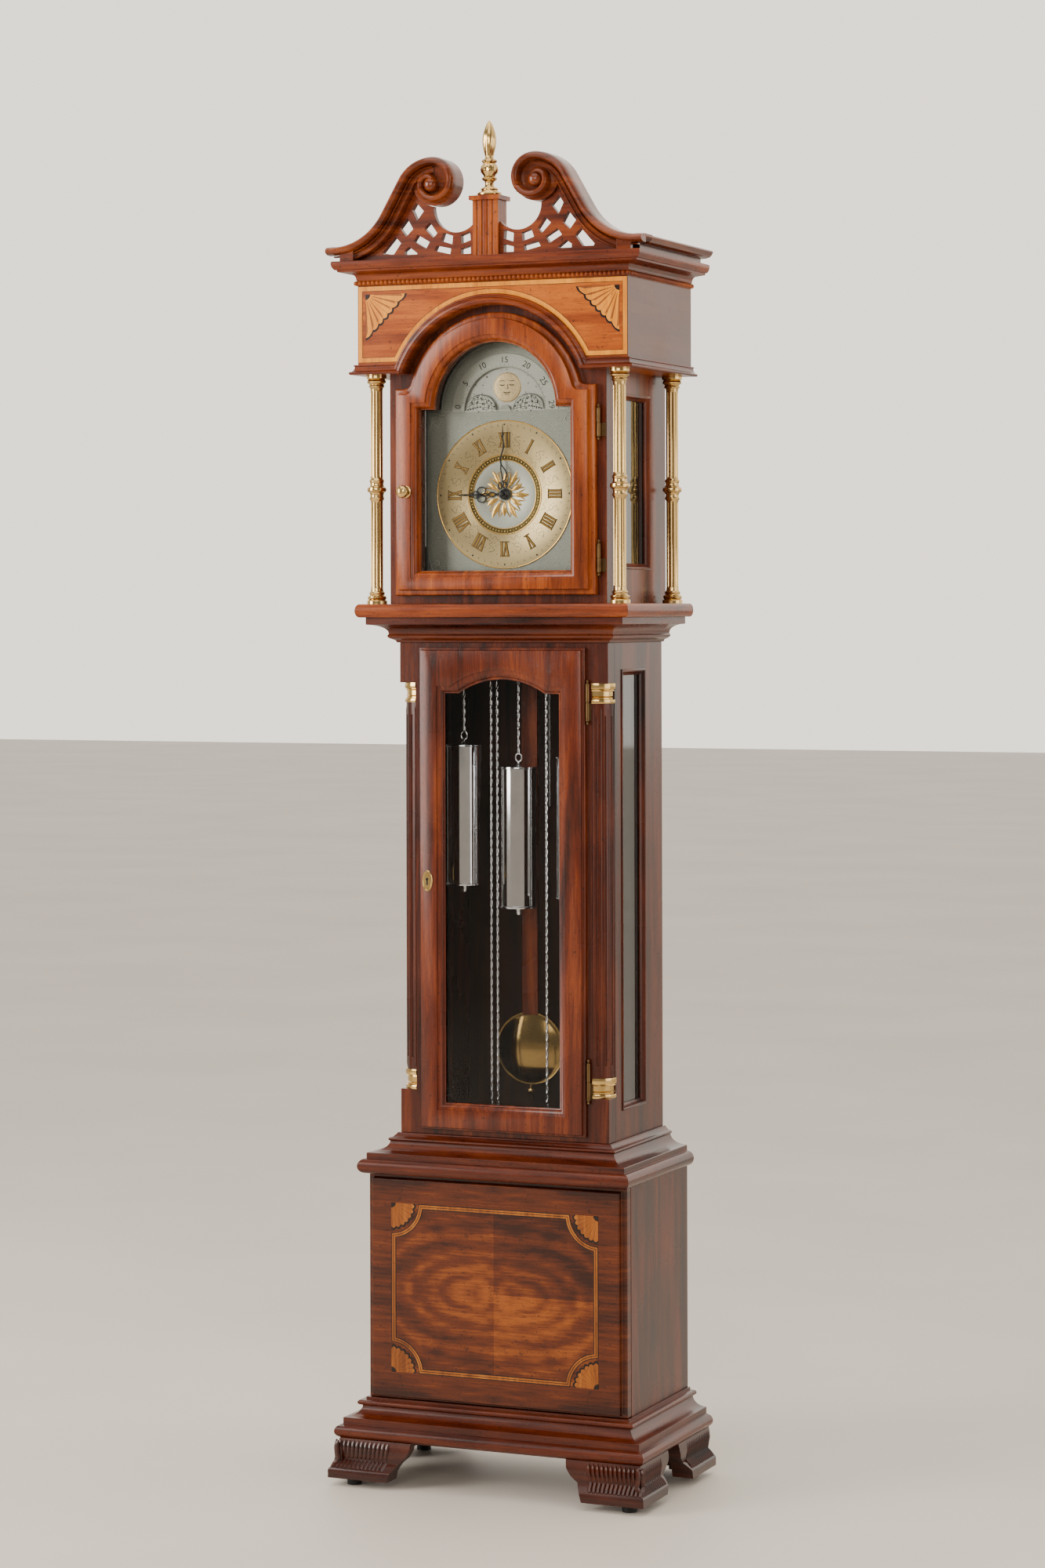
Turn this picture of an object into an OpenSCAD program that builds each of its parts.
/* [Overall] */
// Depth from the back plane to the toes of the front feet
overall_depth = 325; // [300:1:400]
// Height of the brass glides under the feet
glide_height = 13; // [8:1:20]
// Height of the bracket feet
foot_height = 61.6; // [50:0.1:90]
// Height of the moulding between feet and base
plinth_height = 62.9; // [50:0.1:90]
// Height of the base box
base_height = 363.8; // [250:0.1:480]
// Height of the moulding between base and waist
base_cap_height = 64; // [56:0.1:90]
// Height of the waist
waist_height = 797.8; // [760:0.1:1000]
// Height of the moulding between waist and shelf
shelf_mould_height = 40.7; // [36:0.1:60]
// Thickness of the shelf that carries the hood
shelf_thick = 22; // [16:0.1:30]
// Height of the hood between shelf and frieze
hood_height = 372.2; // [370:0.1:460]
// Height of the frieze
frieze_height = 143.9; // [143:0.1:180]
// Height of the cornice
cornice_height = 39.1; // [38:0.1:50]

/* [Case] */
// Width of the base box
base_width = 450.9; // [420:0.1:520]
// Depth of the base box
base_depth = 268.3; // [255:0.1:300]
// Amount that the base front panel stands proud
panel_proud = 11; // [4:0.1:13]
// Width of the waist
waist_width = 365.6; // [350:0.1:420]
// Depth of the waist
waist_depth = 236.7; // [230:0.1:260]
// Thickness of the case boards
board = 18; // [14:0.1:22]
// Thickness of the back boards
back_board = 6; // [4:0.1:9]
// Radius of the fluted quarter columns
column_r = 28; // [24:0.1:32]
// Radius of the flutes
flute_r = 2.2; // [1:0.1:3]
// Width of the side windows in the waist
waist_window_width = 99; // [70:0.1:120]
// Thickness of the glass panes
glass_thick = 3; // [2:0.1:4]
// Thickness of the glass seats left around the panes
glass_lap = 6; // [4:0.1:9]

/* [Doors] */
// Width of the waist door
waist_door_width = 290; // [280:0.1:296]
// Thickness of the waist door
waist_door_thick = 12.8; // [10:0.1:16]
// Width of the hood door
hood_door_width = 350; // [340:0.1:354]
// Thickness of the hood door
hood_door_thick = 23.6; // [20:0.1:26]
// Width of the waist door opening
waist_glass_width = 200; // [180:0.1:220]
// Width of the ovolo around the waist door's glass
door_ovolo = 12; // [6:0.1:14]
// Width of the hood door opening
hood_glass_width = 271; // [260:0.1:276]
// Gap between a closed door and the frame behind it
door_gap = 0.5; // [0.3:0.1:1]
// Radius of the hinge barrels
barrel_r = 3.2; // [2.5:0.1:4]
// Radial clearance of a hinge pin or an arbor in its hole
pin_clearance = 0.08; // [0.02:0.01:0.1]

/* [Hood] */
// Width of the hood body
hood_width = 380; // [370:0.1:400]
// Depth of the hood body
hood_depth = 257; // [250:0.1:270]
// Width of the frieze box
frieze_width = 472; // [465:0.1:500]
// Depth of the frieze box
frieze_depth = 280.7; // [279:0.1:290]
// Radius of the arch cut in the frieze
arch_r = 165.4; // [163:0.1:168]
// Diameter of the brass column shafts
brass_shaft_d = 19.8; // [14:0.1:24]
// Diameter of the brass column rings
brass_ring_d = 33.2; // [26:0.1:36]
// Outer radius of the scrolls
scroll_r = 39.2; // [30:0.1:44]
// Width of the swan neck moulding
neck_width = 27; // [20:0.1:32]
// Height of the finial
finial_height = 121.7; // [90:0.1:150]
// Thickness of the fretwork board
fret_thick = 12; // [8:0.1:16]

/* [Dial] */
// Width of the square dial plate
dial_width = 280; // [272:0.1:290]
// Outer radius of the chapter ring
chapter_r = 119.4; // [110:0.1:125]
// Inner radius of the chapter ring
chapter_inner_r = 64; // [55:0.1:70]
// Radius of the window in the arch of the dial
moon_window_r = 70.4; // [64:0.1:72]
// Radius of the two humps that hide the moon
hump_r = 28; // [24:0.1:30]
// Length of the minute hand
minute_length = 113; // [100:0.1:117]
// Length of the hour hand
hour_length = 80; // [65:0.1:88]

/* [Works] */
// Length of the pendulum from its suspension to the centre of the bob
pendulum_length = 994; // [960:0.1:1010]
// Diameter of the pendulum bob
bob_d = 120; // [100:0.1:150]
// Thickness of the pendulum bob
bob_thick = 22; // [16:0.1:26]
// Distance between neighbouring weights
weight_spacing = 97; // [90:0.1:104]
// Diameter of the weight shells
weight_d = 57; // [50:0.1:60]
// Height of the weights
weight_height = 229; // [200:0.1:260]
// Diameter of the chains
chain_d = 5; // [4:0.1:6]
// Radius of the outer chain wheels, to the middle of the chain
outer_wheel_r = 24; // [22:0.1:26]
// Radius of the centre chain wheel, to the middle of the chain
centre_wheel_r = 19; // [17:0.1:20]
// Number of chime rods
rod_count = 5; // [3:1:8]

/* [Hidden] */
$fn = 48;

back_y = overall_depth / 2;
panel_edge = 9.4;
z_foot = glide_height;
z_plinth = z_foot + foot_height;
z_base = z_plinth + plinth_height;
z_cap = z_base + base_height;
z_waist = z_cap + base_cap_height;
z_mould = z_waist + waist_height;
z_shelf = z_mould + shelf_mould_height;
z_hood = z_shelf + shelf_thick;
z_frieze = z_hood + hood_height;
z_cornice = z_frieze + frieze_height;
z_crown = z_cornice + cornice_height;

base_half = base_width / 2;
waist_half = waist_width / 2;
hood_half = hood_width / 2;
frieze_half = frieze_width / 2;
waist_in = waist_half - board;
hood_in = hood_half - board;

// Overhang and height of each moulding's outline, from the lowest point up
plinth_profile = stretched(concat(
    [[36, 0]], arc(33, 10.9, 11, 10.4, 290, 410, 8),
    [[32.5, 21.9], [32.5, 32.2]], arc(32.5, 50, 23.8, 17.6, 268, 182, 7),
    arc(11, 54.5, 4.5, 4, 270, 450, 6), [[4.4, 59], [4.4, 62.9], [0, 62.9]]),
    1, plinth_height / 62.9);
cap_outline = concat(
    [[41, 0]], arc(43, 12.5, 11.5, 12, 290, 430, 8), [[42.5, 24.6]],
    [[42.5, 33.2]], arc(41.6, 52, 28.4, 18, 270, 190, 7),
    [[13.4, 51], [15.4, 52], [16.2, 53.7], [15.4, 55.4], [13.4, 56.4], [10.2, 57.2], [7.6, 60], [5.2, 62],
    [4.8, 64], [0, 64]]);
// The cap reaches from the waist out over the base, by its own amount at the sides and at the front
cap_side = stretched(cap_outline, (base_half - waist_half) / 42.65, base_cap_height / 64);
cap_front = stretched(cap_outline, (base_depth - waist_depth) / 31.6, base_cap_height / 64);
shelf_profile = stretched(concat(
    [[0, 0], [3.7, 0], [5.5, 3.6], [12, 6.6], [14.6, 8.2], [16, 10.8], [14.8, 12.8], [13.8, 13.8]],
    arc(41.5, 15.4, 27.5, 13.6, 178, 92, 7), [[41.9, 29.6], [41.9, 40.7]]), 1, shelf_mould_height / 40.7);
bullnose_profile = arc(0, shelf_thick / 2, 6.5, shelf_thick / 2, 270, 450, 10);
bullnose_base = 49.7;
lower_profile = concat([[11.4, 0], [11.4, 2.6]], arc(11.4, 14.4, 8.4, 11.4, 270, 180, 5), [[4, 16.6], [0, 16.6]]);
cornice_profile = stretched(concat([[0, 0]], arc(0.9, 4.5, 3.2, 3.5, 270, 450, 6),
    arc(9.5, 10, 7.5, 10.1, 180, 95, 6), [[25, 22.1], [25.6, 25.1], [28.9, 25.6], [31.5, 29.1], [33, 33],
    [33.2, 36], [32.4, 39.1], [0, 39.1]]), 1, cornice_height / 39.1);

arch_z = z_frieze - 58.4;
door_flat_r = arch_r - 21.9;
door_lip_r = arch_r - 11.9;
glass_arch_r = arch_r - 56.4;
arch_mould_width = 17;
mould_proud = 10.1;

dial_z = arch_z - 137.6;
dial_d = 226;
dial_thick = 3;
dial_arch_r = 113;
moon_z = arch_z - 3;
hour_d = 229.5;
minute_d = 234;
hand_thick = 1.2;
arbor_r = 2.5;
pipe_r = 4.4;

column_x = waist_half - column_r;
column_d = waist_depth - column_r;
block_top = 65;
block_bottom = 71;
ring_height = 32;
window_back = 79;
window_low = 47.7;
window_top = 45.1;

stile_in = waist_door_width / 2 - 9;
door_low = z_waist + 8.6;
door_top = z_mould - 8.2;
waist_door_d = waist_depth + door_gap;
waist_front_d = waist_door_d + waist_door_thick;
lip_thick = 6;
lip_width = 4;
hood_door_d = hood_depth + door_gap;
hood_front_d = hood_door_d + hood_door_thick;
hood_lip_thick = 12.5;
hood_lip = 9;
hood_door_low = z_hood + 13.6;
hood_shoulder = z_frieze - 24.4;
hood_flat_half = hood_door_width / 2 - hood_lip;
hood_axis_x = hood_door_width / 2 + barrel_r + 1;
hood_axis_d = hood_depth + 8;
waist_axis_x = waist_door_width / 2 + barrel_r + 1;
waist_axis_d = waist_depth + barrel_r + 1.1;
knuckle = 58;
hood_knuckle = 44;
pin_r = 1.6;

scroll_x = 88.8;
scroll_z = z_crown + 122.2;
scroll_back = 272;
scroll_front = 322;
fret_d = 282;
neck_top = 23.5;
neck_half = 275.5;
tail_r = 100;
shoulder_r = 67.3;
neck_angle = 60;
tail_x = 265;
plinth_half = 22.2;
plinth_d0 = 267;
plinth_d1 = 301;
finial_d = (plinth_d0 + plinth_d1) / 2;
plinth_top = z_crown + 96;

suspension_z = dial_z + 90;
pendulum_d = 126;
bob_z = suspension_z - pendulum_length;
chain_plane = 173;
wheel_z = dial_z - 42;
plate_half = 114;
plate_low = dial_z - 82;
plate_high = dial_z + 98;
plate_thick = 3;
front_plate_d = 199;
back_plate_d = 140;
seat_thick = 18;
left_top = z_mould - 167.5;
centre_top = z_mould - 202.5;
right_top = z_mould - 185;
tail_end = z_cap - 80;
hook_height = 22;
hammer_z = suspension_z - 200;
hammer_d = 82;
rod_d = 44;

// Point list of an elliptical arc about (x, z), from angle a0 to a1 in n steps
function arc(x, z, rx, rz, a0, a1, n) =
    [for (i = [0:n]) let (a = a0 + (a1 - a0) * i / n) [x + rx * cos(a), z + rz * sin(a)]];
// Point list mirrored to the other side and read backwards
function mirrored(points) = [for (i = [len(points) - 1:-1:0]) [-points[i][0], points[i][1]]];
// Point list with every overhang grown by a half width and every height by a base height
function grown(points, side, low) = [for (p = points) [p[0] + side, p[1] + low]];

// Point list stretched outwards and upwards
function stretched(points, wide, tall) = [for (p = points) [p[0] * wide, p[1] * tall]];

// Box given by its x range, its depth range from the back plane, and its z range
module slab(x, d, z) {
    translate([x[0], back_y - d[1], z[0]]) cube([x[1] - x[0], d[1] - d[0], z[1] - z[0]]);
}
// The same box on both sides of the centre
module slab_pair(x, d, z) {
    slab(x, d, z);
    slab([-x[1], -x[0]], d, z);
}
// Plate whose outline is drawn in the front elevation
module plate(d0, d1) {
    translate([0, back_y - d0, 0]) rotate([90, 0, 0]) linear_extrude(d1 - d0) children();
}
// Upright round bar
module post(x, d, z0, z1, r) {
    translate([x, back_y - d, z0]) cylinder(h = z1 - z0, r = r);
}
// Round bar that runs from depth d0 to depth d1
module rod_y(x, z, d0, d1, r) {
    translate([x, back_y - d0, z]) rotate([90, 0, 0]) cylinder(h = d1 - d0, r = r);
}
// Solid block with a moulded front and two moulded sides, flush at the back
module moulded_block(half, depth, low, profile, front = []) {
    side = grown(profile, half, low);
    face = grown(len(front) > 0 ? front : profile, depth, low);
    intersection() {
        translate([0, back_y, 0]) rotate([90, 0, 0]) linear_extrude(depth + 120)
            polygon(concat(side, mirrored(side)));
        translate([-half - 120, back_y, 0]) rotate([90, 0, 90]) linear_extrude(2 * half + 240)
            polygon(concat([[0, face[0][1]]], [for (p = face) [-p[0], p[1]]], [[0, face[len(face) - 1][1]]]));
    }
}
// Moulding ring: the block with its middle left open
module moulding(half, depth, low, high, profile, open_half, open_depth, front = []) {
    difference() {
        moulded_block(half, depth, low, profile, front);
        slab([-open_half, open_half], [back_board, open_depth], [low - 1, high + 1]);
    }
}

module floor_glides() {
    color("dimgray") for (sx = [-1, 1], d = [29, overall_depth - 29])
        post(sx * (toe_x - glide_inset), d, 0, z_foot, glide_r);
}
// Outline of a foot: an ogee on the outer side and a scrolled bracket on the inner side
module foot_outline(toe, line) {
    h = foot_height / 61.6;
    polygon(concat([[toe - 106, 0], [toe, 0]], [for (p = line) [toe - p[0], p[1] * h]],
        [[toe - 139.5, foot_height], [toe - 137.5, 49 * h], [toe - 130, 37 * h], [toe - 118.5, 27 * h],
        [toe - 109.5, 14 * h]]));
}
foot_side = [[0, 12], [1, 15], [8.5, 23], [13.2, 27], [12, 36], [10.2, 45], [10.8, 54], [12.4, 61.6]];
foot_face = [[0, 12], [1, 15], [11, 23], [16.4, 27], [15.6, 36], [15, 45], [16.5, 54], [19, 61.6]];
foot_plain = [[0, 61.6]];
toe_x = base_half + 49;
glide_inset = 34.5;
glide_r = 12;
// One bracket foot: an L of two brackets with a glue block in the corner
module foot(toe_d, line) {
    intersection() {
        translate([0, back_y, z_foot]) rotate([90, 0, 0]) linear_extrude(overall_depth)
            foot_outline(toe_x, foot_side);
        translate([0, back_y, z_foot]) rotate([90, 0, 90]) linear_extrude(toe_x + 2)
            mirror([1, 0]) foot_outline(toe_d, line);
        union() {
            slab([toe_x - 2 * board, toe_x], [toe_d - 140, toe_d], [z_foot, z_plinth]);
            slab([toe_x - 140, toe_x], [toe_d - 2 * board, toe_d], [z_foot, z_plinth]);
            slab([toe_x - 60, toe_x], [toe_d - 60, toe_d], [z_foot, z_plinth]);
        }
    }
}
module bracket_feet() {
    color("saddlebrown") for (sx = [0, 1]) mirror([sx, 0, 0]) {
        foot(overall_depth, foot_face);
        mirror([0, 1, 0]) foot(overall_depth, foot_plain);
    }
}
module plinth_moulding() {
    color("sienna") moulding(base_half, base_depth, z_plinth, z_base, plinth_profile,
        base_half - 2 * board, base_depth - 2 * board);
}
module base_bottom() {
    color("burlywood") slab([-base_half + board, base_half - board], [back_board, base_depth - board],
        [z_base, z_base + 12]);
}
module base_front() {
    color("brown") union() {
        slab([-base_half, base_half], [base_depth - board, base_depth], [z_base, z_cap]);
        slab([-base_half + panel_edge, base_half - panel_edge], [base_depth - 1, base_depth + panel_proud],
            [z_base + 5.5, z_cap - 6.3]);
    }
}
module base_sides() {
    color("sienna") slab_pair([base_half - board, base_half], [0, base_depth - board], [z_base, z_cap]);
}
module base_top_moulding() {
    color("sienna") moulding(waist_half, waist_depth, z_cap, z_waist, cap_side, waist_in,
        waist_depth - board, cap_front);
}
module case_back() {
    color("peru") {
        slab([-base_half + board, base_half - board], [0, back_board], [z_base, z_cap]);
        slab([-waist_in, waist_in], [0, back_board], [z_waist, z_mould]);
        slab([-hood_in, hood_in], [0, back_board], [z_hood, z_cornice]);
    }
}
// Wood left in front of the panes in the side windows
window_lip = 8;
module waist_sides() {
    color("sienna") difference() {
        slab_pair([waist_in, waist_half], [0, column_d], [z_waist, z_mould]);
        slab([-waist_half - 1, waist_half + 1], [window_back, window_back + waist_window_width],
            [z_waist + window_low, z_mould - window_top]);
        slab_pair([waist_in - 1, waist_half - window_lip],
            [window_back - glass_lap, window_back + waist_window_width + glass_lap],
            [z_waist + window_low - glass_lap, z_mould - window_top + glass_lap]);
    }
}
module waist_side_glass() {
    color("lightcyan", 0.4) slab_pair(
        [waist_half - window_lip - glass_thick, waist_half - window_lip],
        [window_back - glass_lap, window_back + waist_window_width + glass_lap],
        [z_waist + window_low - glass_lap, z_mould - window_top + glass_lap]);
}
module waist_front() {
    color("brown") union() {
        slab_pair([stile_in, column_x], [waist_depth - board, waist_depth], [z_waist, z_mould]);
        slab([-stile_in - 1, stile_in + 1], [waist_depth - board, waist_depth], [z_waist, z_waist + 26]);
        slab([-stile_in - 1, stile_in + 1], [waist_depth - board, waist_depth], [z_mould - 26, z_mould]);
        slab_pair([column_x - 1, waist_half], [column_d, waist_depth], [z_mould - block_top, z_mould]);
        slab_pair([column_x - 1, waist_half], [column_d, waist_depth], [z_waist, z_waist + block_bottom]);
    }
}
// Quarter of a round solid that stands in the front right corner of the waist
module corner_quarter(z0, z1) {
    intersection() {
        translate([column_x, back_y - column_d, 0]) children();
        slab([column_x, column_x + column_r + 5], [column_d, column_d + column_r + 5], [z0, z1]);
    }
}
module corner_columns() {
    z0 = z_waist + block_bottom + ring_height;
    z1 = z_mould - block_top - ring_height;
    color("chocolate") for (sx = [0, 1]) mirror([sx, 0, 0]) difference() {
        corner_quarter(z0, z1) translate([0, 0, z0]) cylinder(h = z1 - z0, r = column_r - 1);
        for (a = [17, 45, 73]) translate([column_x + (column_r - 0.6) * sin(a),
            back_y - column_d - (column_r - 0.6) * cos(a), z0 + 20]) cylinder(h = z1 - z0 - 40, r = flute_r);
    }
}
module ring_turning(z0) {
    r = column_r;
    translate([0, 0, z0]) rotate_extrude() polygon([[0, 0], [r + 0.6, 0], [r + 1.4, 3], [r + 0.6, 6],
        [r - 2, 7], [r - 2, 9], [r, 10], [r - 2, 11.5], [r - 2, 19], [r, 20], [r - 1, 22], [r + 1.2, 23],
        [r + 1.8, 27.5], [r + 1.2, ring_height], [0, ring_height]]);
}
module column_rings() {
    top = z_mould - block_top - ring_height;
    low = z_waist + block_bottom;
    color("gold") for (sx = [0, 1]) mirror([sx, 0, 0]) {
        corner_quarter(top, top + ring_height) ring_turning(top);
        corner_quarter(low, low + ring_height) ring_turning(low);
    }
}
lock_z = (z_waist + z_mould) / 2 + 12.6;
module waist_opening(grow) {
    half = waist_glass_width / 2 + grow;
    low = z_waist + 53 - grow;
    shoulder = z_mould - 82 + grow;
    arch = (half - 25) / 0.56;
    polygon(concat([[-half, low], [half, low], [half, shoulder]],
        arc(0, shoulder - arch * 0.8285, arch, arch, 55.95, 124.05, 12), [[-half, shoulder]]));
}
module waist_door_frame() {
    half = waist_door_width / 2;
    color("firebrick") difference() {
        union() {
            slab([-half, half], [waist_door_d, waist_door_d + lip_thick], [door_low, door_top]);
            slab([-half + lip_width, half - lip_width], [waist_door_d, waist_front_d],
                [door_low + lip_width, door_top - lip_width]);
        }
        plate(waist_door_d - 1, waist_front_d + 1) waist_opening(0);
        plate(waist_front_d - 7, waist_front_d + 1) waist_opening(door_ovolo / 2);
        plate(waist_front_d - 3, waist_front_d + 1) waist_opening(door_ovolo);
        plate(waist_door_d - 1, waist_door_d + glass_thick) waist_opening(glass_lap);
        rod_y(-stile_in + 7, lock_z, waist_door_d - 1, waist_door_d + 3.5, 3 + pin_clearance);
    }
}
module waist_door_glass() {
    color("lightcyan", 0.4) plate(waist_door_d, waist_door_d + glass_thick) waist_opening(glass_lap - 0.5);
}
// Hinge barrel, with the leaf that is fixed to the case and the pin
module barrel(x, d, z, height, leaf_to, leaf_d) {
    color("goldenrod") {
        difference() {
            post(x, d, z, z + height * 0.48, barrel_r);
            post(x, d, z - 1, z + height + 1, pin_r + pin_clearance);
        }
        slab([x + barrel_r - 0.6, leaf_to], [leaf_d, leaf_d + 1.2], [z, z + height * 0.48]);
        slab([x + barrel_r - 1, x + barrel_r + 0.4], [leaf_d, d], [z, z + height * 0.48]);
    }
}
module leaf_knuckle(x, d, z, height, leaf_to, leaf_d) {
    color("goldenrod") {
        post(x, d, z + height * 0.5, z + height, barrel_r);
        post(x, d, z + 1, z + height * 0.5 + 1, pin_r);
        slab([leaf_to, x - barrel_r + 0.8], [leaf_d, leaf_d + 1], [z + height * 0.5, z + height]);
    }
}
waist_hinge_z = [z_waist + 68.5, z_mould - 124.2];
hood_hinge_z = [z_hood + 50, z_hood + 265.2];
module door_hinges() {
    for (z = waist_hinge_z) barrel(waist_axis_x, waist_axis_d, z, knuckle, column_x - 0.5, waist_depth);
    for (z = hood_hinge_z) barrel(hood_axis_x, hood_axis_d, z, hood_knuckle, hood_half - 1, hood_depth);
}
module waist_door_leaves() {
    for (z = waist_hinge_z) leaf_knuckle(waist_axis_x, waist_axis_d, z, knuckle, waist_door_width / 2,
        waist_door_d + 1.5);
}
module hood_door_leaves() {
    for (z = hood_hinge_z) leaf_knuckle(hood_axis_x, hood_axis_d, z, hood_knuckle, hood_door_width / 2,
        hood_door_d + 6);
}
module lock_cam() {
    x = -stile_in + 7;
    z = lock_z;
    color("darkgoldenrod") {
        rod_y(x, z, waist_depth - 25, waist_door_d + 3, 3);
        slab([x - 4, x + 4], [waist_depth - 25, waist_depth - 21.5], [z - 4, z + 20]);
    }
}
module shelf_moulding() {
    color("sienna") moulding(waist_half, waist_depth, z_mould, z_shelf, shelf_profile, waist_in,
        waist_depth - board);
}
module hood_shelf() {
    color("sienna") difference() {
        moulded_block(waist_half + bullnose_base, waist_depth + bullnose_base - 1.9, z_shelf, bullnose_profile);
        slab([-150, 150], [20, 212], [z_shelf - 1, z_hood + 1]);
    }
}
module arch_outline(r, half, low, shoulder) {
    polygon(concat([[-half, low], [half, low], [half, shoulder]],
        arc(0, arch_z, r, r, asin((shoulder - arch_z) / r), 180 - asin((shoulder - arch_z) / r), 28),
        [[-half, shoulder]]));
}
module hood_front() {
    color("chocolate") difference() {
        slab([-hood_half, hood_half], [hood_depth - board, hood_depth], [z_hood, z_cornice]);
        plate(hood_depth - board - 1, hood_depth + 1)
            arch_outline(glass_arch_r + 1, hood_glass_width / 2, z_hood + 38, arch_z + 0.1);
    }
}
hood_window = [72, 185];
hood_window_z = [z_hood + 56.5, z_frieze - 37.5];
module hood_sides() {
    color("sienna") difference() {
        slab_pair([hood_in, hood_half], [0, hood_depth - board], [z_hood, z_cornice]);
        slab([-hood_half - 1, hood_half + 1], hood_window, hood_window_z);
        slab_pair([hood_in - 1, hood_half - window_lip],
            [hood_window[0] - glass_lap, hood_window[1] + glass_lap],
            [hood_window_z[0] - glass_lap, hood_window_z[1] + glass_lap]);
    }
}
module hood_side_glass() {
    color("lightcyan", 0.4) slab_pair([hood_half - window_lip - glass_thick, hood_half - window_lip],
        [hood_window[0] - glass_lap, hood_window[1] + glass_lap],
        [hood_window_z[0] - glass_lap, hood_window_z[1] + glass_lap]);
}
module brass_column(x, d) {
    r = brass_shaft_d / 2;
    b = brass_ring_d / 2;
    h = hood_height;
    translate([x, back_y - d, z_hood]) rotate_extrude() polygon([[0, 0], [b, 0], [b, 9], [b - 4, 11],
        [b - 1, 14], [b - 1, 17], [r + 1, 20], [r, 24], [r, h / 2 - 16], [r + 2, h / 2 - 8], [b - 1, h / 2 - 2],
        [b - 1, h / 2 + 2], [r + 2, h / 2 + 8], [r, h / 2 + 16], [r, h - 24], [r + 1, h - 20], [b - 1, h - 17],
        [b - 1, h - 14], [b - 4, h - 11], [b, h - 9], [b, h], [0, h]]);
}
module brass_columns() {
    x = (hood_half + frieze_half) / 2;
    color("gold") for (sx = [-1, 1], d = [28, hood_depth + 2]) brass_column(sx * x, d);
}
module frieze() {
    d0 = hood_depth + 0.3;
    color("chocolate") union() {
        difference() {
            slab([-frieze_half, frieze_half], [d0, frieze_depth], [z_frieze, z_cornice]);
            plate(d0 - 1, frieze_depth + 1) arch_outline(arch_r, sqrt(arch_r * arch_r - pow(z_frieze - arch_z, 2)),
                z_frieze - 1, z_frieze);
        }
        slab_pair([frieze_half - board, frieze_half], [0, d0], [z_frieze, z_cornice]);
        slab_pair([hood_half, frieze_half - board], [0, d0], [z_frieze, z_frieze + 12]);
    }
}
module arch_moulding() {
    end_half = sqrt(arch_r * arch_r - pow(z_frieze - arch_z, 2));
    color("sienna") union() {
        difference() {
            moulded_block(frieze_half, frieze_depth, z_frieze, lower_profile);
            slab([-frieze_half, frieze_half], [-1, frieze_depth], [z_frieze - 1, z_cornice]);
            plate(frieze_depth - 1, frieze_depth + 80) arch_outline(arch_r + 3, end_half + 3, z_frieze - 1, z_frieze);
        }
        difference() {
            plate(frieze_depth, frieze_depth + mould_proud)
                arch_outline(arch_r + arch_mould_width - 4, arch_r * 0.96, z_frieze, z_frieze + 16);
            plate(frieze_depth - 1, frieze_depth + mould_proud + 1)
                arch_outline(arch_r, end_half, z_frieze - 1, z_frieze);
        }
        difference() {
            plate(frieze_depth, frieze_depth + mould_proud / 2)
                arch_outline(arch_r + arch_mould_width, arch_r, z_frieze, z_frieze + 16);
            plate(frieze_depth - 1, frieze_depth + mould_proud + 1)
                arch_outline(arch_r, end_half, z_frieze - 1, z_frieze);
        }
    }
}
module cornice() {
    color("sienna") difference() {
        moulded_block(frieze_half, frieze_depth, z_cornice, cornice_profile);
        slab([-hood_in, hood_in], [back_board, hood_depth - board], [z_cornice - 1, z_cornice + 20]);
    }
}
// Outline of the swan neck in the front elevation, right side
function neck_line(inset) = concat(
    arc(tail_x, z_crown + neck_top + tail_r, tail_r + inset, tail_r + inset, 270, 270 - neck_angle, 8),
    arc(scroll_x, scroll_z + scroll_r - shoulder_r, shoulder_r - inset, shoulder_r - inset, 90 - neck_angle, 90, 8));
module neck_outline(inset) {
    inner = neck_line(inset);
    polygon(concat([[neck_half, z_crown + neck_top]], neck_line(0),
        [for (i = [len(inner) - 1:-1:0]) if (inner[i][1] > z_crown + 2) inner[i]],
        crown_end(inset)));
}
// Outer end of the swan neck: the moulding that turns round the corner of the hood
function crown_end(inset) = inset > neck_top ? concat(
    [[tail_x - sqrt(pow(tail_r + inset, 2) - pow(tail_r + neck_top, 2)), z_crown]], crown_under) :
    [[neck_half - 8, z_crown + neck_top - inset], [neck_half - 3, z_crown + neck_top - inset + 4]];
crown_under = [[neck_half - 22, z_crown], [neck_half - 22, z_crown + 9.6], [neck_half - 13, z_crown + 10],
    [neck_half - 6.5, z_crown + 11.7], [neck_half - 3, z_crown + 14.6], [neck_half - 1, z_crown + 18.4]];
module scroll_right() {
    color("chocolate") union() {
        plate(scroll_back, scroll_front - 12) neck_outline(neck_width);
        plate(scroll_front - 13, scroll_front) neck_outline(neck_width / 2);
        rod_y(scroll_x, scroll_z, scroll_back, scroll_front, scroll_r);
        plate(0, scroll_back + 1) polygon(concat([[neck_half - 46, z_crown + neck_top - 3],
            [neck_half - 46, z_crown]], crown_under, [[neck_half, z_crown + neck_top - 3]]));
    }
}
module scroll_left() {
    mirror([1, 0, 0]) scroll_right();
}
fret_r = 40.5;
fret_x = 53.5;
fret_z = z_crown + 80.5;
fret_bar = 5;
// Outline of the right half of the fretwork, under the swan neck
module fret_outline(inset) {
    line = neck_line(neck_width + 0.3 + inset);
    difference() {
        polygon(concat([[plinth_half + 0.2 + inset, z_crown + inset]],
            [[tail_x - 46 - inset, z_crown + inset]],
            [for (p = line) if (p[1] > z_crown + inset && p[0] > fret_x + fret_r) p],
            [[fret_x + fret_r + inset, fret_z], [fret_x, fret_z], [plinth_half + 0.2 + inset, fret_z]]));
        translate([fret_x, fret_z]) circle(r = fret_r + inset, $fn = 72);
        translate([scroll_x, scroll_z]) circle(r = scroll_r + 0.3 + inset, $fn = 72);
    }
}
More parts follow.
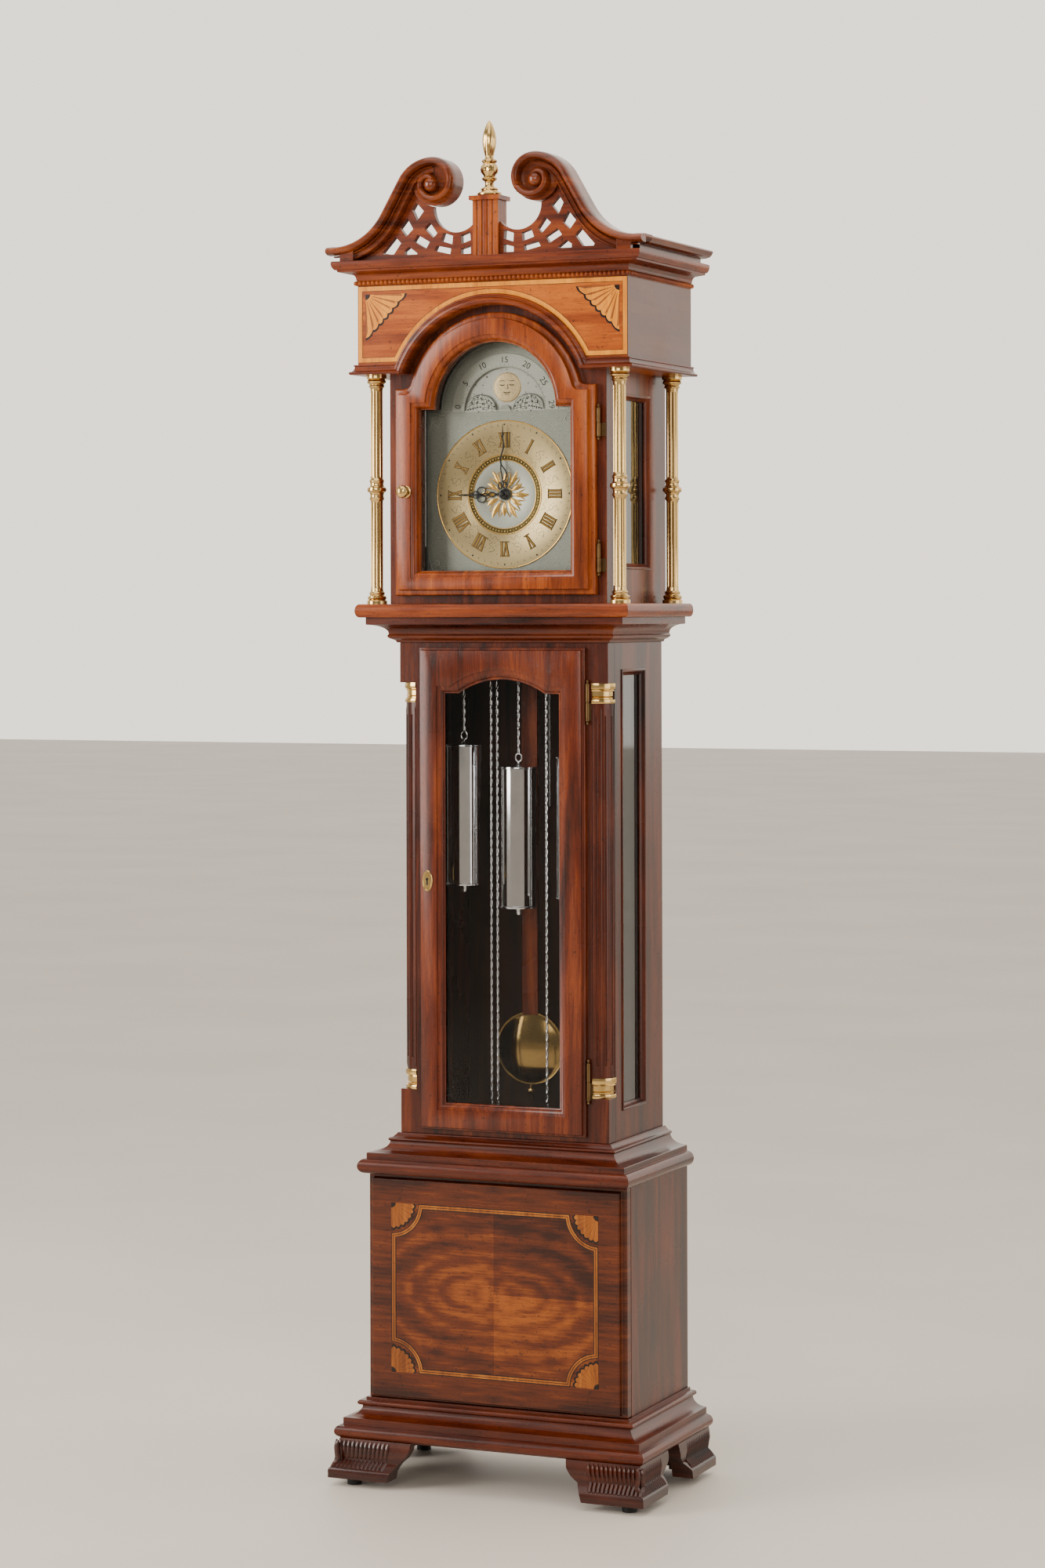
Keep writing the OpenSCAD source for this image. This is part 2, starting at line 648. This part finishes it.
// Openings of the lattice, measured from the centre of the round hollow
fret_cells = [
    [[-23.2, -40.4], [-7.4, -45.8], [-8.2, -59.4], [-24.6, -54]],
    [[6.6, -46], [23, -40.4], [27.6, -53.2], [8, -59.4]],
    [[34.3, -40.5], [47, -22.7], [57, -32], [41.4, -47.8]],
    [[58, -4], [71.4, 10.4], [78.6, -1.3], [70, -19]],
    [[-24.6, -63], [-7.6, -67.4], [-7.6, -75.6], [-24.6, -75.6]],
    [[10, -66], [35, -60.6], [39, -68.6], [11.4, -75]],
    [[47.7, -54], [68.6, -41.8], [75.7, -52], [54, -64.5]],
    [[77, -32], [87, -14.4], [100, -30], [89.4, -43.6]],
    [[70, -71], [83.7, -60.8], [92.3, -67], [92.3, -73], [70, -73]],
    [[98.6, -54], [108.6, -43], [131.4, -68], [130, -71.5], [111.4, -71.5]]];
module fretwork() {
    color("chocolate") for (sx = [0, 1]) mirror([sx, 0, 0]) difference() {
        plate(fret_d, fret_d + fret_thick) fret_outline(0);
        for (cell = fret_cells) plate(fret_d - 1, fret_d + fret_thick + 1) intersection() {
            fret_outline(fret_bar / 2);
            translate([fret_x, fret_z]) polygon(cell);
        }
    }
}
module finial_plinth() {
    color("chocolate") {
        difference() {
            slab([-plinth_half, plinth_half], [plinth_d0, plinth_d1], [z_crown, plinth_top - 7]);
            for (i = [-1.5:1:1.5]) post(i * 9, plinth_d1, z_crown - 1, plinth_top - 7, 2.4);
        }
        slab([-plinth_half - 4, plinth_half + 4], [plinth_d0 - 6, plinth_d1 + 6], [plinth_top - 7, plinth_top]);
    }
}
module finial() {
    h = finial_height;
    color("gold") translate([0, back_y - finial_d, plinth_top]) rotate_extrude() polygon(concat(
        [[0, 0], [18, 0], [20, 3], [20, 5], [14, 8], [13, 12], [8, 14], [7, 18], [8, 25], [12, 27], [12, 30],
        [9, 32], [14.7, 38], [14.7, 45], [11, 52], [13.2, 55], [13.2, 57], [7, 60], [6.8, 64]],
        arc(0, 85, 11.5, 24, 295, 360, 5), arc(0, 85, 11.5, h - 86, 15, 80, 5), [[0, h]]));
}
module hood_outline(half, r, low, shoulder, fillet) {
    a = asin((shoulder + fillet - arch_z) / r);
    polygon(concat([[-half, low], [half, low], [half, shoulder]],
        [[r * cos(a) + fillet, shoulder], [r * cos(a) + fillet * 0.3, shoulder + fillet * 0.35]],
        arc(0, arch_z, r, r, a, 180 - a, 28),
        [[-r * cos(a) - fillet * 0.3, shoulder + fillet * 0.35], [-r * cos(a) - fillet, shoulder],
        [-half, shoulder]]));
}
module hood_opening(grow) {
    arch_outline(glass_arch_r + grow, hood_glass_width / 2 + grow, hood_door_low + 37 - grow, arch_z + grow);
}
module hood_door_frame() {
    color("orangered") difference() {
        union() {
            plate(hood_door_d, hood_door_d + hood_lip_thick)
                hood_outline(hood_door_width / 2, door_lip_r, hood_door_low, hood_shoulder, 12);
            plate(hood_door_d, hood_front_d)
                hood_outline(hood_flat_half, door_flat_r, hood_door_low + hood_lip, hood_shoulder - hood_lip, 12);
        }
        plate(hood_door_d - 1, hood_front_d + 1) hood_opening(0);
        plate(hood_door_d - 1, hood_door_d + glass_thick) hood_opening(glass_lap);
    }
}
module hood_door_glass() {
    color("lightcyan", 0.4) plate(hood_door_d, hood_door_d + glass_thick) hood_opening(glass_lap - 0.5);
}
module hood_door_knob() {
    color("gold") translate([-hood_flat_half + 15, back_y - hood_front_d, dial_z + 5]) rotate([90, 0, 0])
        rotate_extrude() polygon(concat([[0, 0], [9, 0], [9, 1.5], [4, 3], [4, 8]],
            arc(0, 14, 11, 7, 300, 450, 8)));
}
// Window in the arch of the dial through which the moon shows
module moon_window() {
    difference() {
        polygon(arc(0, moon_z, moon_window_r, moon_window_r, 0, 180, 36));
        for (sx = [-1, 1]) translate([sx * (moon_window_r - hump_r), moon_z]) circle(r = hump_r);
        translate([0, moon_z]) circle(r = 10);
    }
}
module dial_plate() {
    half = dial_width / 2;
    color("silver") difference() {
        plate(dial_d - dial_thick, dial_d)
            arch_outline(dial_arch_r, half, dial_z - half, arch_z + 2);
        plate(dial_d - dial_thick - 1, dial_d + 1) moon_window();
        rod_y(0, dial_z, dial_d - dial_thick - 1, dial_d + 1, pipe_r + 1);
    }
    color("silver") for (sx = [-1, 1], sz = [-1, 1])
        rod_y(sx * 90, dial_z + sz * 68, front_plate_d, dial_d - dial_thick + 0.5, 3);
}
module chapter_ring() {
    color("khaki") difference() {
        rod_y(0, dial_z, dial_d, dial_d + 1.2, chapter_r);
        rod_y(0, dial_z, dial_d - 1, dial_d + 2, chapter_inner_r);
    }
}
module moon_disc() {
    color("slategray") {
        rod_y(0, moon_z, dial_d - dial_thick - 2.4, dial_d - dial_thick - 1, moon_window_r + 3);
        rod_y(0, moon_z, dial_d - dial_thick - 8, dial_d - dial_thick - 1, arbor_r);
    }
}
module hour_hand() {
    color("black") difference() {
        union() {
            plate(hour_d, hour_d + hand_thick) translate([0, dial_z]) polygon([[8, -8], [8, 8], [-12, 9],
                [-38, 9], [-50, 3], [-hour_length, 0], [-50, -3], [-38, -9], [-12, -9]]);
            rod_y(0, dial_z, front_plate_d + 2, hour_d + hand_thick, pipe_r);
            rod_y(0, dial_z, front_plate_d + 4, front_plate_d + 6, 28);
        }
        rod_y(0, dial_z, front_plate_d, minute_d + 5, arbor_r + pin_clearance);
    }
}
module minute_hand() {
    color("black") union() {
        plate(minute_d, minute_d + hand_thick) translate([0, dial_z]) polygon([[-7, -7], [7, -7], [7, 8],
            [6, 40], [2, 60], [1, minute_length], [-1, minute_length], [-2, 60], [-6, 40], [-7, 8]]);
        rod_y(0, dial_z, back_plate_d + plate_thick + 1, minute_d + 5, arbor_r);
        rod_y(0, dial_z, minute_d + hand_thick, minute_d + 3, 5);
        rod_y(0, dial_z, back_plate_d + 10, back_plate_d + 12, 30);
    }
}
module movement_frame() {
    d0 = back_plate_d;
    d1 = front_plate_d - plate_thick;
    color("goldenrod") {
        difference() {
            union() {
                slab([-plate_half, plate_half], [d0, d0 + plate_thick], [plate_low, plate_high]);
                slab([-plate_half, plate_half], [d1, d1 + plate_thick], [plate_low, plate_high]);
                for (sx = [-1, 1], z = [plate_low + 8, plate_high - 8])
                    rod_y(sx * (plate_half - 8), z, d0 + 1, d1 + 1, 4);
                slab([-8, 8], [pendulum_d - 6, d0 + 1], [suspension_z + 4, plate_high]);
            }
            rod_y(0, dial_z, d1 - 1, d1 + 9, arbor_r + 0.6);
            rod_y(0, suspension_z, d0 - 1, d0 + 9, 3.6);
            for (x = [-weight_spacing + outer_wheel_r, -centre_wheel_r, weight_spacing - outer_wheel_r])
                rod_y(x, wheel_z, d0 - 1, d1 + 9, arbor_r + pin_clearance);
        }
    }
}
module seat_board() {
    z1 = plate_low;
    color("burlywood") {
        difference() {
            slab([-hood_in + 4, hood_in - 4], [back_plate_d, 207], [z1 - seat_thick, z1]);
            slab([-weight_spacing - 12, weight_spacing + 12], [chain_plane - 10, chain_plane + 10],
                [z1 - seat_thick - 1, z1 + 1]);
        }
        slab_pair([hood_in - 18, hood_in - 4], [back_plate_d, 207], [z_hood, z1 - seat_thick]);
    }
}
escape_teeth = 30;
escape_r = 19;
module escape_wheel() {
    z = suspension_z - 30;
    color("gold") {
        rod_y(0, z, back_plate_d + plate_thick + 1, front_plate_d - plate_thick - 1, 2);
        plate(back_plate_d + 22, back_plate_d + 24) translate([0, z]) polygon([for (i = [0:escape_teeth - 1],
            s = [0, 1]) let (a = (i + s * 0.35) * 360 / escape_teeth, r = s == 0 ? escape_r : escape_r - 4)
            [r * sin(a), r * cos(a)]]);
    }
}
module anchor() {
    color("lightsteelblue") {
        rod_y(0, suspension_z, back_plate_d - 8, front_plate_d - plate_thick - 2, 2.4);
        plate(back_plate_d + 22, back_plate_d + 24) translate([0, suspension_z]) polygon([[-5, 5], [5, 5],
            [16, -4], [21, -14], [19, -14], [13, -7], [0, -3], [-13, -7], [-19, -14], [-21, -14], [-16, -4]]);
        slab([-3, 3], [back_plate_d - 8, back_plate_d - 6], [suspension_z - 95, suspension_z]);
    }
}
module chain_wheel(x, r, gear_d) {
    d0 = back_plate_d + 0.5;
    color("goldenrod") {
        rod_y(x, wheel_z, d0, front_plate_d - 0.5, arbor_r);
        rod_y(x, wheel_z, chain_plane - 3, chain_plane + 3, r - chain_d / 2 - 0.5);
        for (s = [-5.5, 4]) rod_y(x, wheel_z, chain_plane + s, chain_plane + s + 1.5, r + 1);
        rod_y(x, wheel_z, gear_d, gear_d + 2, 30);
    }
}
module chain_wheel_left() chain_wheel(-weight_spacing + outer_wheel_r, outer_wheel_r, 188);
module chain_wheel_centre() chain_wheel(-centre_wheel_r, centre_wheel_r, 156);
module chain_wheel_right() chain_wheel(weight_spacing - outer_wheel_r, outer_wheel_r, 188);
module weight(x, top) {
    color("gainsboro") translate([x, back_y - chain_plane, top - weight_height]) {
        rotate_extrude() polygon([[0, -12], [6, -12], [6, -3], [9, 0], [weight_d / 2 + 1.5, 0],
            [weight_d / 2 + 1.5, 3], [weight_d / 2, 3], [weight_d / 2, weight_height - 3],
            [weight_d / 2 + 1.5, weight_height - 3], [weight_d / 2 + 1.5, weight_height], [8, weight_height],
            [5, weight_height + 3], [2.5, weight_height + 5], [2.5, weight_height + hook_height],
            [0, weight_height + hook_height]]);
    }
}
module weight_left() weight(-weight_spacing, left_top);
module weight_centre() weight(0, centre_top);
module weight_right() weight(weight_spacing, right_top);
module chain(x, z0) {
    color("gainsboro") post(x, chain_plane, z0, wheel_z - 1, chain_d / 2);
}
module chain_left() chain(-weight_spacing, left_top + hook_height + 0.3);
module chain_centre() chain(0, centre_top + hook_height + 0.3);
module chain_right() chain(weight_spacing, right_top + hook_height + 0.3);
module tail_left() chain(-weight_spacing + 2 * outer_wheel_r, tail_end);
module tail_centre() chain(-2 * centre_wheel_r, tail_end);
module tail_right() chain(weight_spacing - 2 * outer_wheel_r, tail_end);
module pendulum() {
    d = pendulum_d;
    stick_top = z_hood - 30;
    color("gold") {
        slab([-2, 2], [d - 0.5, d + 0.5], [suspension_z - 30, suspension_z + 2]);
        slab([-5, 5], [d - 2, d + 2], [stick_top, suspension_z - 30]);
        slab([-14, 14], [d - 3, d + 3], [bob_z + bob_d / 2 - 4, stick_top]);
        translate([0, back_y - d, bob_z]) rotate([90, 0, 0]) rotate_extrude() polygon(concat(
            [[0, -bob_thick / 2]], arc(0, 0, bob_d / 2, bob_thick / 2, -80, 80, 10), [[0, bob_thick / 2]]));
        slab([-2, 2], [d - 2, d + 2], [bob_z - bob_d / 2 - 26, bob_z]);
        slab([-6, 6], [d - 6, d + 6], [bob_z - bob_d / 2 - 14, bob_z - bob_d / 2 - 6]);
    }
}
rod_step = 22;
function rod_x(i) = (i - (rod_count - 1) / 2) * rod_step;
module chime_rods() {
    block_half = rod_x(rod_count - 1) + 14;
    z0 = hammer_z - 24;
    color("dimgray") {
        slab([-block_half, block_half], [back_board, rod_d + 8], [z0, z0 + 26]);
        for (i = [0:rod_count - 1]) post(rod_x(i), rod_d, z0 - 330 - i * 24, z0 + 1, 2);
        difference() {
            slab_pair([block_half - 8, block_half - 4], [rod_d + 6, hammer_d + 6], [z0 + 2, hammer_z + 6]);
            translate([-block_half, back_y - hammer_d, hammer_z]) rotate([0, 90, 0])
                cylinder(h = 2 * block_half, r = 2.5 + pin_clearance);
        }
    }
}
module chime_hammers() {
    half = rod_x(rod_count - 1) + 10;
    z = hammer_z;
    color("goldenrod") {
        translate([-half, back_y - hammer_d, z]) rotate([0, 90, 0]) cylinder(h = 2 * half, r = 2.5);
        for (i = [0:rod_count - 1]) {
            slab([rod_x(i) - 1.5, rod_x(i) + 1.5], [hammer_d - 1.5, hammer_d + 1.5], [z - 52, z]);
            rod_y(rod_x(i), z - 50, rod_d + 3, hammer_d + 4, 5);
        }
    }
}

floor_glides();
bracket_feet();
plinth_moulding();
base_bottom();
base_front();
base_sides();
base_top_moulding();
case_back();
waist_sides();
waist_side_glass();
waist_front();
corner_columns();
column_rings();
waist_door_frame();
waist_door_glass();
door_hinges();
waist_door_leaves();
hood_door_leaves();
lock_cam();
shelf_moulding();
hood_shelf();
hood_front();
hood_sides();
hood_side_glass();
brass_columns();
frieze();
arch_moulding();
cornice();
scroll_left();
scroll_right();
fretwork();
finial_plinth();
finial();
hood_door_frame();
hood_door_glass();
hood_door_knob();
dial_plate();
chapter_ring();
moon_disc();
hour_hand();
minute_hand();
movement_frame();
seat_board();
escape_wheel();
anchor();
chain_wheel_left();
chain_wheel_centre();
chain_wheel_right();
weight_left();
weight_centre();
weight_right();
chain_left();
chain_centre();
chain_right();
tail_left();
tail_centre();
tail_right();
pendulum();
chime_rods();
chime_hammers();
